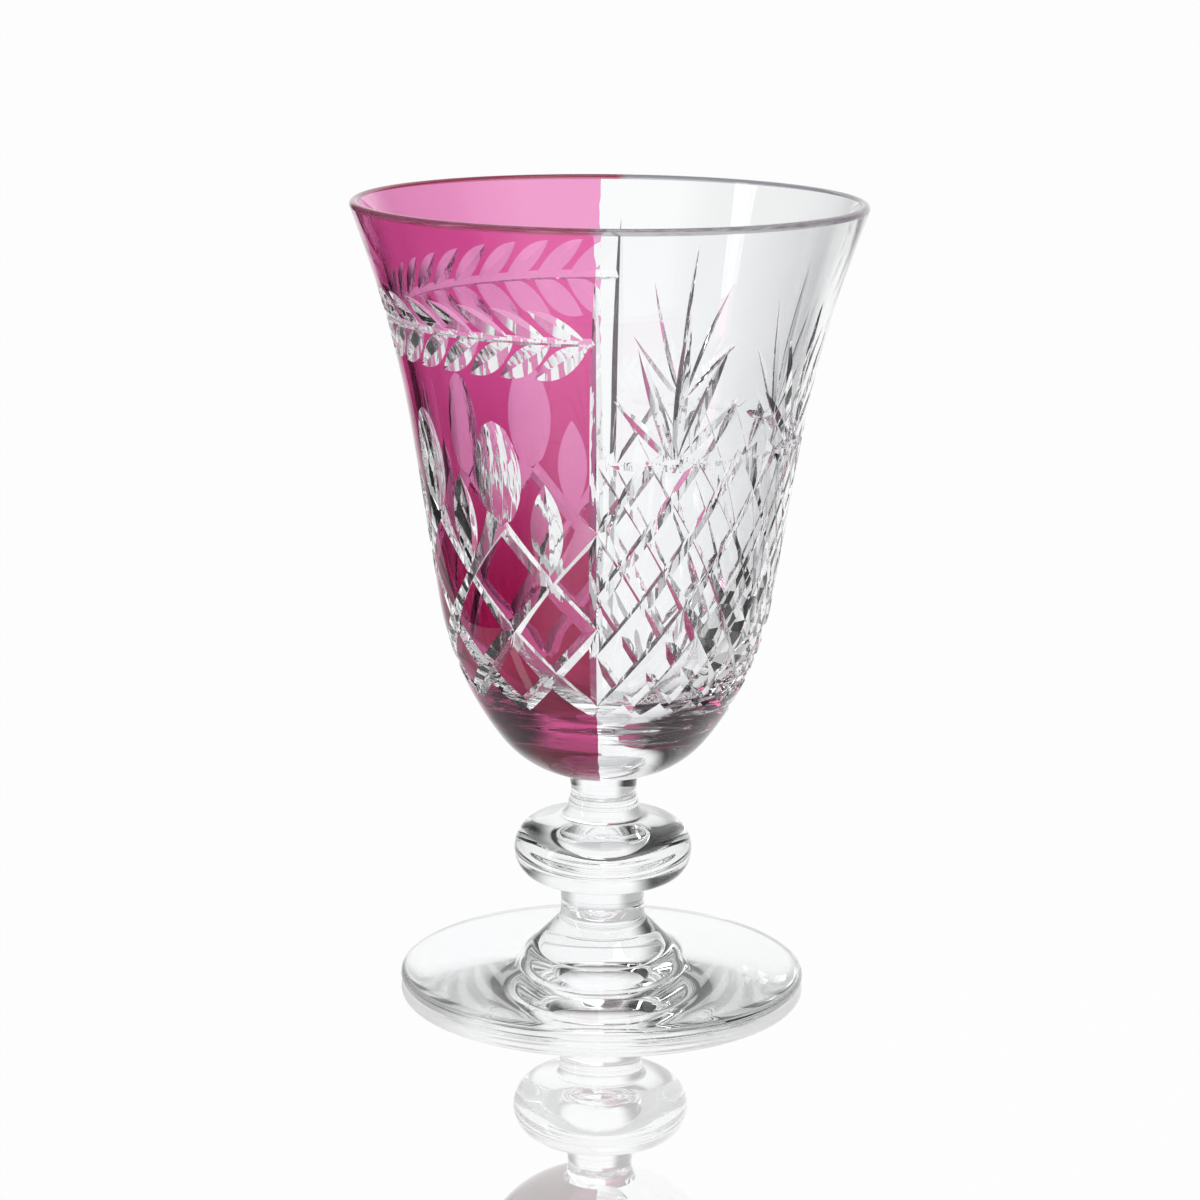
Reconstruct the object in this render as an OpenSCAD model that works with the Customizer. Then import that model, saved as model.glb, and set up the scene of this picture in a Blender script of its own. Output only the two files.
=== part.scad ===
// Stemmed glass with a flared bowl, half clear and half cased in ruby, cut with mitre and olive wheels.
// Up is +Z and the foot stands on Z = 0. The flutes between the two halves face -Y and +Y.
// An azimuth of 0 faces -Y and grows towards +X, so the ruby half lies at negative azimuths.

/* [Stem] */
// Height of the foot up to its joint with the collar
foot_h = 13.8; // [11:0.1:20]
// Height of the collar between foot and knop
collar_h = 2.5; // [1.5:0.1:6]
// Height of the knop from its lower to its upper joint
knop_h = 19; // [18:0.1:26]
// Height of the shank under the bowl
shank_h = 5.7; // [4.5:0.1:8]
// Radius of the collar and of the knop's lower neck
collar_r = 8.05; // [7:0.05:10]
// Radius of the shank at its waist
waist_r = 6.25; // [5:0.05:7]
// Radius of the hollow curve round the shank
waist_curve_r = 6.8; // [5.5:0.1:9]

/* [Foot] */
// Radius of the foot
foot_r = 38.7; // [30:0.1:48]
// Thickness of the foot at its rounded edge
foot_edge_t = 2.3; // [1.6:0.1:3.2]
// Slope of the foot's upper face
foot_slope = 9.5; // [6:0.5:12]
// Slope of the cone that carries the stem
cone_slope = 46; // [40:1:55]
// Radius of the curve between the foot's upper face and the cone
foot_curve_r = 6; // [3:0.1:8]
// Radius of the curve between the cone and the collar
cone_curve_r = 3.2; // [2:0.1:4.5]
// Rise of the hollow underside
foot_hollow = 1.1; // [0.5:0.05:1.5]
// Width of the flat ring that the foot stands on
stand_w = 2.4; // [1:0.1:4]
// Radius of the polished pontil hollow
pontil_r = 9.5; // [6:0.1:12]
// Depth of the polished pontil hollow
pontil_depth = 0.9; // [0.4:0.05:1.5]

/* [Knop] */
// Radius of the knop
knop_r = 17; // [15:0.1:22]
// Radius of the knop's rounded edge
knop_edge_r = 6; // [5:0.1:6.5]
// Rise of the knop's crown above its edge
knop_crown = 1.3; // [0.8:0.05:2]
// Radius of the knop's upper neck
knop_neck_r = 6.65; // [5.5:0.05:7]
// Radius of the curve between the knop and its upper neck
upper_curve_r = 2.9; // [1:0.1:3.5]
// Radius of the curve between the knop and its lower neck
lower_curve_r = 1.2; // [0.6:0.1:2]

/* [Bowl] */
// Height of the rounded underside
underside_h = 7.6; // [5:0.1:12]
// Height of the heel, the curve above the underside
heel_h = 26.8; // [20:0.1:36]
// Height of the straight wall
wall_h = 30.5; // [25:0.1:40]
// Height of the flared lip
lip_h = 42.2; // [35:0.1:55]
// Lean of the wall from upright where the underside starts
underside_a = 80; // [72:1:84]
// Lean of the wall where the underside meets the heel
heel_a = 38; // [32:1:44]
// Lean of the straight wall
wall_a = 9; // [6:0.5:12]
// Lean of the lip at the rim
lip_a = 21.5; // [16:0.5:26]
// Thickness of the wall
wall_t = 2.6; // [2.2:0.05:4]
// Thickness of the floor under the hollow
floor_t = 6.4; // [4:0.1:9]

/* [Ruby casing] */
// Thickness of the ruby layer
casing_t = 0.35; // [0.25:0.01:0.45]
// How far round the bowl the casing goes
casing_a = 174.6; // [170:0.1:180]

/* [Cutting wheels] */
// Angle of the mitre wheel's edge
mitre_a = 112; // [106:1:118]
// Angle of the wide wheel's edge
leaf_a = 142; // [138:1:144]
// Radius of the olive wheel's rounded edge
olive_edge_r = 16; // [13:0.1:18]

/* [Lozenges, ovals and lenses] */
// Number of lozenges round the ruby half
lozenge_n = 6; // [5:1:7]
// Rows of half lozenges
lozenge_rows = 4; // [4:2:6]
// Height of the lozenge field
lozenge_h = 33.6; // [30:0.1:35]
// Depth of the lozenge grooves
lozenge_depth = 0.85; // [0.7:0.01:0.95]
// Height of the ovals above the lozenges
oval_h = 19; // [15:0.1:20]
// Depth of the ovals
oval_depth = 1.1; // [0.9:0.01:1.2]
// Height of the pointed lenses between the ovals
lens_h = 17.8; // [14:0.1:19]
// Depth of the pointed lenses
lens_depth = 1.2; // [0.9:0.01:1.25]
// Gap between each of these cuts and the lozenge under it
lozenge_gap = 0.8; // [0.6:0.05:1.2]

/* [Laurel] */
// Distance from the rim down to the laurel's stem line
twig_drop = 19.1; // [18:0.1:21]
// Depth of the stem line
twig_depth = 0.45; // [0.4:0.01:0.55]
// Number of pairs of leaves
leaf_n = 18; // [14:1:18]
// Angle from one pair of leaves to the next
leaf_step = 9.6; // [9.4:0.1:9.7]
// Rise of the upper leaves over the stem line
upper_leaf_h = 5.8; // [5.4:0.1:6.4]
// Depth of the upper leaves
upper_leaf_depth = 0.6; // [0.55:0.01:0.65]
// Drop of the lower leaves under the stem line
lower_leaf_h = 6.6; // [6.2:0.1:7]
// Depth of the lower leaves
lower_leaf_depth = 0.78; // [0.7:0.01:0.82]

/* [Seam flutes] */
// Distance from the rim down to the top of the flutes
flute_drop = 5.5; // [4.5:0.1:8]
// Depth of the flutes
flute_depth = 0.8; // [0.7:0.01:0.9]

/* [Fans and diamonds] */
// Number of fans on the clear half
fan_n = 4; // [3:1:4]
// Height of the fans
fan_h = 27; // [22:0.1:29]
// Depth of the fans' rays
ray_depth = 0.85; // [0.7:0.01:0.95]
// Diamonds across each fan's width
fan_diamonds = 3; // [2:1:3]
// Rows of half diamonds
diamond_rows = 8; // [6:2:8]
// Height of the diamond field
diamond_h = 47; // [44:0.1:48]
// Depth of the diamond grooves
diamond_depth = 0.7; // [0.6:0.01:0.75]
// Gap between the diamonds and the fans over them
fan_gap = 0.85; // [0.6:0.05:1.2]

/* [Hidden] */

clear_colour = [0.86, 0.91, 0.94, 0.45];
ruby_colour = [0.72, 0.1, 0.38, 0.75];

// Sides of the circles, for short and for long radii
arc_fn = 96;
long_arc_fn = 720;

// Heights of the joints
knop_z = foot_h + collar_h;
shank_z = knop_z + knop_h;
base_z = shank_z + shank_h;

// The shank's waist, and the radius of the joint above it
waist_share = 0.44;
waist_z = shank_z + waist_share * shank_h;
base_r = waist_r + waist_curve_r - sqrt(pow(waist_curve_r, 2) - pow(base_z - waist_z, 2));

// The bowl's outline is a chain of underside arc, heel arc, straight wall and lip arc
heel_z = base_z + underside_h;
wall_z = heel_z + heel_h;
lip_z = wall_z + wall_h;
rim_z = lip_z + lip_h;
underside_r = underside_h / (sin(underside_a) - sin(heel_a));
heel_r = heel_h / (sin(heel_a) - sin(wall_a));
lip_r = lip_h / (sin(lip_a) - sin(wall_a));
heel_x = base_r + underside_r * (cos(heel_a) - cos(underside_a));
wall_x = heel_x + heel_r * (cos(wall_a) - cos(heel_a));
lip_x = wall_x + wall_h * tan(wall_a);
rim_x = lip_x + lip_r * (cos(wall_a) - cos(lip_a));

// Centres of its arcs
underside_c = [heel_x - underside_r * cos(heel_a), heel_z + underside_r * sin(heel_a)];
heel_c = [heel_x - heel_r * cos(heel_a), heel_z + heel_r * sin(heel_a)];
lip_c = [lip_x + lip_r * cos(wall_a), lip_z - lip_r * sin(wall_a)];

// Direction from the lip's centre to the rim, and the rim's rounding
rim_dir = [-cos(lip_a), sin(lip_a)];
rim_c = lip_c + (lip_r + wall_t / 2) * rim_dir;

// The hollow's round floor, which touches the straight inner wall
inner_x = wall_x - wall_t / cos(wall_a);
floor_z = base_z + floor_t;
round_z = (floor_z + inner_x * cos(wall_a) - wall_z * sin(wall_a)) / (1 - sin(wall_a));
round_r = round_z - floor_z;

// A margin beyond the bowl, for bodies that cut it, and the overlap where two curves of the outline meet
margin = wall_t;
overlap_share = 0.0016;
overlap = overlap_share * wall_t;

// Lean of the outer wall from upright at height z
function lean(z) =
    z < heel_z ? asin((underside_c[1] - z) / underside_r) :
    z < wall_z ? asin((heel_c[1] - z) / heel_r) :
    z < lip_z ? wall_a :
    asin((z - lip_c[1]) / lip_r);

// Radius of the outer wall at height z
function wall_r(z) =
    z < heel_z ? underside_c[0] + underside_r * cos(lean(z)) :
    z < wall_z ? heel_c[0] + heel_r * cos(lean(z)) :
    z < lip_z ? wall_x + (z - wall_z) * tan(wall_a) :
    lip_c[0] - lip_r * cos(lean(z));

// Outward direction of the wall
function outward(az, z) = [cos(lean(z)) * sin(az), -cos(lean(z)) * cos(az), -sin(lean(z))];

// The point at a depth under the outer wall
function under(az, z, depth) = [wall_r(z) * sin(az), -wall_r(z) * cos(az), z] - depth * outward(az, z);

// Flat outline between two heights, out to beyond the rim
module band(z0, z1) {
    translate([0, z0])
        square([rim_x + margin, z1 - z0]);
}

// Outline inside the line of the straight wall moved inwards by t, from height z0 up into the lip
module straight_part(t, z0) {
    line_x = wall_x - t / cos(wall_a);
    z1 = lip_z + lip_h / 2;
    polygon([
        [0, z0],
        [line_x + (z0 - wall_z) * tan(wall_a), z0],
        [line_x + (z1 - wall_z) * tan(wall_a), z1],
        [0, z1]
    ]);
}

// Outline under the lip moved inwards by t, up to the height z1
module lip_part(t, z1) {
    difference() {
        band(lip_z + t * sin(wall_a), z1);
        translate(lip_c)
            circle(lip_r + t + overlap, $fn = long_arc_fn);
    }
}

// Everything above the line across the wall where the rim's rounding starts
module above_rim() {
    inner = lip_c + (lip_r + wall_t + margin) * rim_dir;
    outer = lip_c + (lip_r - margin) * rim_dir;
    polygon([inner, outer, outer + [0, lip_h], inner + [0, lip_h]]);
}

// Disc with everything above the height z, where the outline goes over to the next curve
module disc_below(centre, r, z) {
    translate(centre)
        circle(r, $fn = long_arc_fn);
    band(z, rim_z);
}

// Outline within the outer wall moved inwards by t
module within_wall(t) {
    low_z = base_z + t * sin(underside_a);
    if (t > 0)
        polygon([[0, base_z], [base_r, base_z], [base_r - t * cos(underside_a), low_z], [0, low_z]]);
    intersection() {
        disc_below(underside_c, underside_r - t + 2 * overlap, heel_z + t * sin(heel_a));
        disc_below(heel_c, heel_r - t + overlap, wall_z + t * sin(wall_a));
        straight_part(t, low_z);
    }
    difference() {
        lip_part(t, rim_z + margin);
        above_rim();
    }
}

// Outline of the hollow
module hollow() {
    intersection() {
        disc_below([0, round_z], round_r + overlap, round_z - round_r * sin(wall_a));
        straight_part(wall_t, floor_z - margin);
    }
    lip_part(wall_t, rim_z + lip_h);
}

// Outline of the whole glass wall with its rounded rim
module wall_outline() {
    difference() {
        within_wall(0);
        hollow();
    }
    translate(rim_c)
        circle(wall_t / 2 + overlap, $fn = arc_fn);
}

// Everything outside the outer wall moved inwards by t, up to where the rim's rounding starts
module outside_wall(t) {
    difference() {
        band(base_z - margin, rim_z + margin);
        within_wall(t);
        above_rim();
        translate([0, base_z - 2 * margin])
            square([base_r - margin * cos(underside_a), 2 * margin + t * sin(underside_a) / 2]);
    }
}

// The revolved part of an outline that faces -X, from azimuth 0 on
module ruby_half() {
    mirror([1, 0, 0])
        rotate([0, 0, -90])
            rotate_extrude(angle = casing_a, $fn = arc_fn * 2)
                children();
}

// Heights of the patterns
pattern_share = 0.575;
pattern_z = wall_z - pattern_share * heel_h;
lozenge_z = pattern_z + lozenge_h;
diamond_z = pattern_z + diamond_h;
twig_z = rim_z - twig_drop;
flute_z = rim_z - flute_drop;

// How far the wheels' bodies reach from their tips, which is clear of the wall but not of much more
mitre_share = 0.62;
leaf_share = 0.4;
cut_reach = mitre_share * wall_t;
leaf_reach = leaf_share * wall_t;

// Body that a wheel's mitre edge sweeps, with its tip on the arc through the points a, m and b.
// The wall's outward direction at m is out, and the arc runs on past both ends by run_on.
module mitre(a, m, b, out, angle, run_on, reach) {
    am = m - a;
    ab = b - a;
    n = cross(am, ab);
    centre = a + cross((am * am) * ab - (ab * ab) * am, n) / (2 * n * n);
    r = norm(m - centre);
    ex = (m - centre) / r;
    ez = n / norm(n);
    ey = cross(ez, ex);
    side = ex * out > 0 ? 1 : -1;
    run_on_a = run_on / r * 180 / PI;
    start = atan2((a - centre) * ey, (a - centre) * ex) - run_on_a;
    end = atan2((b - centre) * ey, (b - centre) * ex) + run_on_a;
    half_w = reach * tan(angle / 2);
    multmatrix([
        [ex[0], ey[0], ez[0], centre[0]],
        [ex[1], ey[1], ez[1], centre[1]],
        [ex[2], ey[2], ez[2], centre[2]],
        [0, 0, 0, 1]
    ])
        rotate([0, 0, start])
            rotate_extrude(angle = end - start, $fn = arc_fn * 3)
                polygon([[r, 0], [r + side * reach, half_w], [r + side * reach, -half_w]]);
}

// Mitre cut square into the wall from p0 by way of p1 to p2, each an azimuth, a height and a depth
module cut(p0, p1, p2, angle, run_on = 0, reach = cut_reach) {
    a = under(p0[0], p0[1], p0[2]);
    b = under(p2[0], p2[1], p2[2]);
    out = outward(p1[0], p1[1]);
    middle = (a + b) / 2;
    m = middle + ((under(p1[0], p1[1], p1[2]) - middle) * out) * out;
    mitre(a, m, b, out, angle, run_on, reach);
}

// Height of row i of n under a top, with the rows drawing together downwards
row_share = 0.13;
function row_z(top, i, n) = top - (top - pattern_z) * i / n * (1 + row_share * (1 - i / n));

// One hand of a field of crossed grooves between two azimuths, each groove a single arc down the n rows.
// The right hand is cut a little deeper, so that its grooves run clean through the left hand's.
// The grooves made are the first and then every second, third or further one.
hand_share = 1.1;
module hand(az0, az1, steps, top, n, depth, right, first = 0, every = 1) {
    a = (az1 - az0) / steps;
    tip = right ? hand_share * depth : depth;
    for (s = [2 - n + 2 * first : 2 * every : steps - 2]) {
        start = max(0, -s);
        end = min(n, steps - s);
        p = [for (i = [start : (end - start) / 2 : end])
            [right ? az1 - a * (s + i) : az0 + a * (s + i), row_z(top, i, n), tip]];
        cut(p[0], p[1], p[2], mitre_a, depth / 2);
    }
}

module lozenges(right) {
    hand(-180, 0, 2 * lozenge_n, lozenge_z, lozenge_rows, lozenge_depth, right);
}

module diamonds(right, odd) {
    hand(0, 180, 2 * fan_n * fan_diamonds, diamond_z, diamond_rows, diamond_depth, right, odd, 2);
}

// Oval cuts of the olive wheel, one over each lozenge between the seams
module ovals() {
    half_h = oval_h / 2;
    wheel_r = (pow(half_h, 2) + pow(oval_depth, 2)) / (2 * oval_depth);
    z = lozenge_z + lozenge_gap + half_h;
    sweep_a = 3 * asin(half_h / wheel_r);
    for (i = [1 : lozenge_n - 1])
        rotate([0, 0, -180 * i / lozenge_n])
            translate([0, -wall_r(z), z])
                rotate([lean(z), 0, 0])
                    translate([0, oval_depth - wheel_r, 0])
                        rotate([0, 90, 0])
                            rotate([0, 0, 90 - sweep_a / 2])
                                rotate_extrude(angle = sweep_a, $fn = arc_fn)
                                    translate([wheel_r - olive_edge_r, 0])
                                        circle(olive_edge_r, $fn = arc_fn);
}

// Pointed lenses between the ovals
module lenses() {
    bottom = row_z(lozenge_z, 1, lozenge_rows) + lozenge_gap;
    for (i = [0 : lozenge_n - 1]) {
        az = -180 * (i + 0.5) / lozenge_n;
        cut([az, bottom, 0], [az, bottom + lens_h / 2, lens_depth], [az, bottom + lens_h, 0], leaf_a);
    }
}

// The laurel's stem line round the ruby half
module twig() {
    half_w = cut_reach * tan(mitre_a / 2);
    rotate([0, 0, 90])
        rotate_extrude(angle = 180, $fn = arc_fn * 2)
            translate([wall_r(twig_z) - twig_depth, twig_z])
                polygon([[0, 0], [cut_reach, half_w], [cut_reach, -half_w]]);
}

// A row of slanting leaves that start a little off the stem line and rise or fall by h
foot_share = 0.25;
upper_foot_share = 0.2;
lower_foot_share = 0.15;
leaf_w_share = 1.5;
module leaves(start, h, depth, odd) {
    leaf_w = leaf_w_share * leaf_step;
    z = twig_z + foot_share * twig_depth * sign(h);
    for (i = [odd : 2 : leaf_n - 1]) {
        az = -leaf_step * (i + start);
        cut(
            [az, z, 0],
            [az - leaf_w / 2, z + h / 2, depth],
            [az - leaf_w, z + h, 0],
            leaf_a,
            reach = leaf_reach
        );
    }
}

// Flutes down both seams, each in three arcs
flute_shares = [0.8, 1.1, 0.95];
module flutes() {
    for (az = [0, 180]) {
        cut(
            [az, flute_z, 0],
            [az, (flute_z + lip_z) / 2, flute_shares[0] * flute_depth],
            [az, lip_z, flute_depth],
            mitre_a
        );
        cut(
            [az, lip_z, flute_depth],
            [az, (lip_z + wall_z) / 2, flute_shares[1] * flute_depth],
            [az, wall_z, flute_depth],
            mitre_a
        );
        cut(
            [az, wall_z, flute_depth],
            [az, (wall_z + pattern_z) / 2, flute_depth],
            [az, pattern_z, flute_shares[0] * flute_depth],
            mitre_a
        );
    }
}

// Each ray's spread as a share of the fan's width, its height as a share of the fan's, and its depth
ray_shares = [[-0.4, 0.41, 0.8], [-0.27, 0.76, 0.9], [0, 1, 1], [0.27, 0.76, 0.88], [0.4, 0.41, 0.78]];
ray_foot_share = 0.06;

// Fans of mitre cuts that stand over the diamonds
module rays(odd) {
    width = 180 / fan_n;
    foot_z = diamond_z + fan_gap;
    for (i = [0 : fan_n - 1], k = [odd : 2 : len(ray_shares) - 1]) {
        ray = ray_shares[k];
        az = width * (i + 0.5);
        depth = ray[2] * ray_depth;
        spread = width * ray[0];
        cut(
            [az + ray_foot_share * spread, foot_z, depth / 2],
            [az + spread / 2, foot_z + fan_h * ray[1] / 2, depth],
            [az + spread, foot_z + fan_h * ray[1], 0],
            mitre_a
        );
    }
}

// The cuts that the wheels make in each turn, few of them across one another.
// The ruby half's pattern goes through the casing, and its deepest cuts on into the bowl.
module wheels(turn, casing) {
    if (casing) {
        if (turn < 3) {
            lozenges(turn == 2);
            leaves(upper_foot_share, upper_leaf_h, upper_leaf_depth, turn - 1);
            leaves(lower_foot_share, -lower_leaf_h, lower_leaf_depth, 2 - turn);
        } else if (turn == 3) {
            ovals();
            lenses();
            twig();
        } else
            flutes();
    } else {
        if (turn < 3) {
            diamonds(false, turn - 1);
            rays(turn - 1);
        } else
            diamonds(true, turn - 3);
        if (turn == 4) {
            ovals();
            lenses();
            flutes();
        }
    }
}

// The wall with the cuts of all turns up to this one
module cut_in_turn(turn, casing) {
    if (turn == 0)
        children();
    else
        difference() {
            cut_in_turn(turn - 1, casing)
                children();
            wheels(turn, casing);
        }
}

module bowl() {
    color(clear_colour)
        cut_in_turn(4, false)
            difference() {
                rotate([0, 0, 90])
                    rotate_extrude($fn = arc_fn * 2)
                        wall_outline();
                ruby_half()
                    outside_wall(casing_t);
            }
}

module ruby_casing() {
    color(ruby_colour)
        cut_in_turn(4, true)
            ruby_half()
                difference() {
                    within_wall(0);
                    within_wall(casing_t);
                }
}

module shank() {
    color(clear_colour)
        rotate_extrude($fn = arc_fn)
            difference() {
                translate([0, shank_z])
                    square([waist_r + waist_curve_r, shank_h]);
                translate([waist_r + waist_curve_r, waist_z])
                    circle(waist_curve_r, $fn = arc_fn);
            }
}

// The knop's crown is a flat arc that runs into its rounded edge
knop_share = 0.51;
knop_c = knop_z + knop_share * knop_h;
edge_x = knop_r - knop_edge_r;
crown_drop = (pow(edge_x, 2) - pow(knop_crown, 2)) / (2 * knop_crown);
crown_r = crown_drop + knop_edge_r + knop_crown;
crown_x = crown_r * edge_x / (crown_r - knop_edge_r);

// A neck of radius neck up to the height top over the knop's middle, with a curve where it meets the crown
module knop_neck(neck, curve, top) {
    curve_c = [neck + curve, sqrt(pow(crown_r + curve, 2) - pow(neck + curve, 2)) - crown_drop];
    touch = [0, -crown_drop] + crown_r / (crown_r + curve) * (curve_c + [0, crown_drop]);
    square([neck, top]);
    intersection() {
        square([neck + curve, top]);
        difference() {
            polygon([[0, 0], [0, curve_c[1]], curve_c, touch]);
            translate(curve_c)
                circle(curve, $fn = arc_fn);
        }
    }
}

// The crown's arc below or above the knop's middle, out to where the rounded edge takes over
module knop_crown_part() {
    intersection() {
        translate([0, -crown_drop])
            circle(crown_r, $fn = long_arc_fn);
        translate([0, crown_drop])
            circle(crown_r, $fn = long_arc_fn);
        translate([0, -knop_r])
            square([crown_x, 2 * knop_r]);
    }
}

module knop() {
    color(clear_colour)
        rotate_extrude($fn = arc_fn * 2)
            translate([0, knop_c])
                union() {
                    knop_crown_part();
                    translate([edge_x, 0])
                        circle(knop_edge_r, $fn = arc_fn);
                    knop_neck(knop_neck_r, upper_curve_r, shank_z - knop_c);
                    mirror([0, 1])
                        knop_neck(collar_r, lower_curve_r, knop_c - knop_z);
                }
}

module foot_collar() {
    color(clear_colour)
        translate([0, 0, foot_h])
            cylinder(h = collar_h, r = collar_r, $fn = arc_fn);
}

// The foot's edge, upper face, cone and the curves between them
edge_r = foot_edge_t / 2;
edge_c = [foot_r - edge_r, edge_r];
face_n = [sin(foot_slope), cos(foot_slope)];
cone_n = [sin(cone_slope), cos(cone_slope)];
face_start = edge_c + edge_r * face_n;
cone_c = [collar_r + cone_curve_r, foot_h];
cone_end = cone_c - cone_curve_r * cone_n;
face_d = face_n * face_start + foot_curve_r;
cone_d = cone_n * cone_end + foot_curve_r;
curve_det = cone_n[0] * face_n[1] - face_n[0] * cone_n[1];
curve_c = [cone_d * face_n[1] - face_d * cone_n[1], cone_n[0] * face_d - face_n[0] * cone_d] / curve_det;

module foot_outline() {
    difference() {
        polygon([
            [0, 0],
            [edge_c[0], 0],
            edge_c,
            face_start,
            curve_c - foot_curve_r * face_n,
            curve_c,
            curve_c - foot_curve_r * cone_n,
            cone_end,
            cone_c,
            [0, foot_h]
        ]);
        translate(curve_c)
            circle(foot_curve_r, $fn = arc_fn * 2);
        translate(cone_c)
            circle(cone_curve_r, $fn = arc_fn);
    }
    intersection() {
        translate(edge_c)
            circle(edge_r, $fn = arc_fn);
        polygon([
            edge_c,
            edge_c - [0, 2 * edge_r],
            edge_c + [2 * edge_r, -2 * edge_r],
            edge_c + [2 * edge_r, 2 * edge_r],
            edge_c + 2 * edge_r * face_n
        ]);
    }
}

// Circle below the base line that rises to a height over a half width
module dish(half_w, rise, low) {
    dish_r = (pow(half_w, 2) + pow(rise, 2)) / (2 * rise);
    translate([0, low + rise - dish_r])
        circle(dish_r, $fn = long_arc_fn * 2);
}

module foot() {
    color(clear_colour)
        rotate_extrude($fn = arc_fn * 2)
            difference() {
                foot_outline();
                dish(edge_c[0] - stand_w, foot_hollow, 0);
                dish(pontil_r, pontil_depth, foot_hollow);
            }
}

bowl();
ruby_casing();
shank();
knop();
foot_collar();
foot();
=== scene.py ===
import math

import bmesh
import bpy
import numpy as np
from mathutils import Matrix, Vector


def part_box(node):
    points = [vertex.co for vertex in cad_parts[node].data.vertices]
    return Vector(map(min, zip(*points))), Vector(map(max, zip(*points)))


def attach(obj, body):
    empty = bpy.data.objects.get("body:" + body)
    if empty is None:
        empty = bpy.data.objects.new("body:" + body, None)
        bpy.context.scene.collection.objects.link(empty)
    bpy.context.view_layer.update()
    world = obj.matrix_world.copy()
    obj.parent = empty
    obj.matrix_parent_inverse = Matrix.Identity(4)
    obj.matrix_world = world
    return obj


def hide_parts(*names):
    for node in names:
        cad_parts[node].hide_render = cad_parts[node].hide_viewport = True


bl_info = {
    "name": "Half-cased cut glass",
    "version": (1, 0, 0),
    "blender": (4, 5, 0),
    "location": "3D View > Sidebar > Cut glass",
    "description": "Dresses a stemmed glass, half clear and half cased in ruby, with its wheel cuts",
    "category": "Object",
}

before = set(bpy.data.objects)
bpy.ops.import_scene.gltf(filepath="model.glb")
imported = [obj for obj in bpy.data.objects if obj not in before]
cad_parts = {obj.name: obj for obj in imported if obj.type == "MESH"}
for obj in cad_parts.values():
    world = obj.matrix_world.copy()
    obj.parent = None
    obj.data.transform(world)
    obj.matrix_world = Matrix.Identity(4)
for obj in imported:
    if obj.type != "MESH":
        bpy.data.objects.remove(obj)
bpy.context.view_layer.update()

MM = 0.001
TAU = 2 * math.pi
GLASS_IOR = 1.53

# How many faces go round each turned piece
AROUND = 240

# Kinds of faces. Each cut has a kind of its own, from CUT upwards.
OUTER, HOLLOW, RIM, FUSED, CUT = 0, 1, 2, 3, 10

# Rows of crossings in the two cut fields, and crossings along each row's half of the bowl
LOZENGE_ROWS, LOZENGE_STEPS = 4, 12
DIAMOND_ROWS, DIAMOND_STEPS = 8, 24


def sin(a):
    return math.sin(math.radians(a))


def cos(a):
    return math.cos(math.radians(a))


def tan(a):
    return math.tan(math.radians(a))


def arcsin(v):
    return math.degrees(math.asin(v))


# Sizes and colours that a user would change


class StemSizes(bpy.types.PropertyGroup):
    foot_h: bpy.props.FloatProperty(
        name="Foot height", description="Height of the joint between foot and collar",
        default=0.0138, unit="LENGTH")
    collar_h: bpy.props.FloatProperty(
        name="Collar height", description="Height of the collar under the knop",
        default=0.0025, unit="LENGTH")
    knop_h: bpy.props.FloatProperty(
        name="Knop height", description="Height of the knop between its joints",
        default=0.019, unit="LENGTH")
    shank_h: bpy.props.FloatProperty(
        name="Shank height", description="Height of the shank under the bowl",
        default=0.0057, unit="LENGTH")
    foot_r: bpy.props.FloatProperty(
        name="Foot radius", description="Radius of the foot",
        default=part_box("foot")[1].x, unit="LENGTH")
    knop_r: bpy.props.FloatProperty(
        name="Knop radius", description="Radius of the knop",
        default=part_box("knop")[1].x, unit="LENGTH")


class BowlSizes(bpy.types.PropertyGroup):
    wall_t: bpy.props.FloatProperty(
        name="Wall", description="Thickness of the bowl's wall", default=0.0026, unit="LENGTH")
    floor_t: bpy.props.FloatProperty(
        name="Floor", description="Thickness of the bowl's floor", default=0.0064, unit="LENGTH")
    rim_t: bpy.props.FloatProperty(
        name="Rim", description="Thickness of the rim", default=0.0018, unit="LENGTH")
    casing_t: bpy.props.FloatProperty(
        name="Casing", description="Thickness of the ruby layer", default=0.00035, unit="LENGTH")
    casing_span: bpy.props.FloatProperty(
        name="Ruby part", description="How far round the bowl the ruby layer goes",
        default=math.radians(174.6), subtype="ANGLE")
    casing_edge: bpy.props.FloatProperty(
        name="Ragged edge", description="How far the edges of the ruby layer wander to either side",
        default=math.radians(0.5), subtype="ANGLE")


class CutSizes(bpy.types.PropertyGroup):
    mitre_angle: bpy.props.FloatProperty(
        name="Mitre wheel", description="Angle of the mitre wheel's edge",
        default=math.radians(112), subtype="ANGLE")
    leaf_angle: bpy.props.FloatProperty(
        name="Wide wheel", description="Angle of the wide wheel's edge",
        default=math.radians(142), subtype="ANGLE")
    lozenge_depth: bpy.props.FloatProperty(
        name="Lozenge depth", description="Depth of the lozenge grooves",
        default=0.0009, unit="LENGTH")
    diamond_depth: bpy.props.FloatProperty(
        name="Diamond depth", description="Depth of the diamond grooves",
        default=0.0007, unit="LENGTH")
    flute_depth: bpy.props.FloatProperty(
        name="Flute depth", description="Depth of the flutes down the seams",
        default=0.0008, unit="LENGTH")


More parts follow.
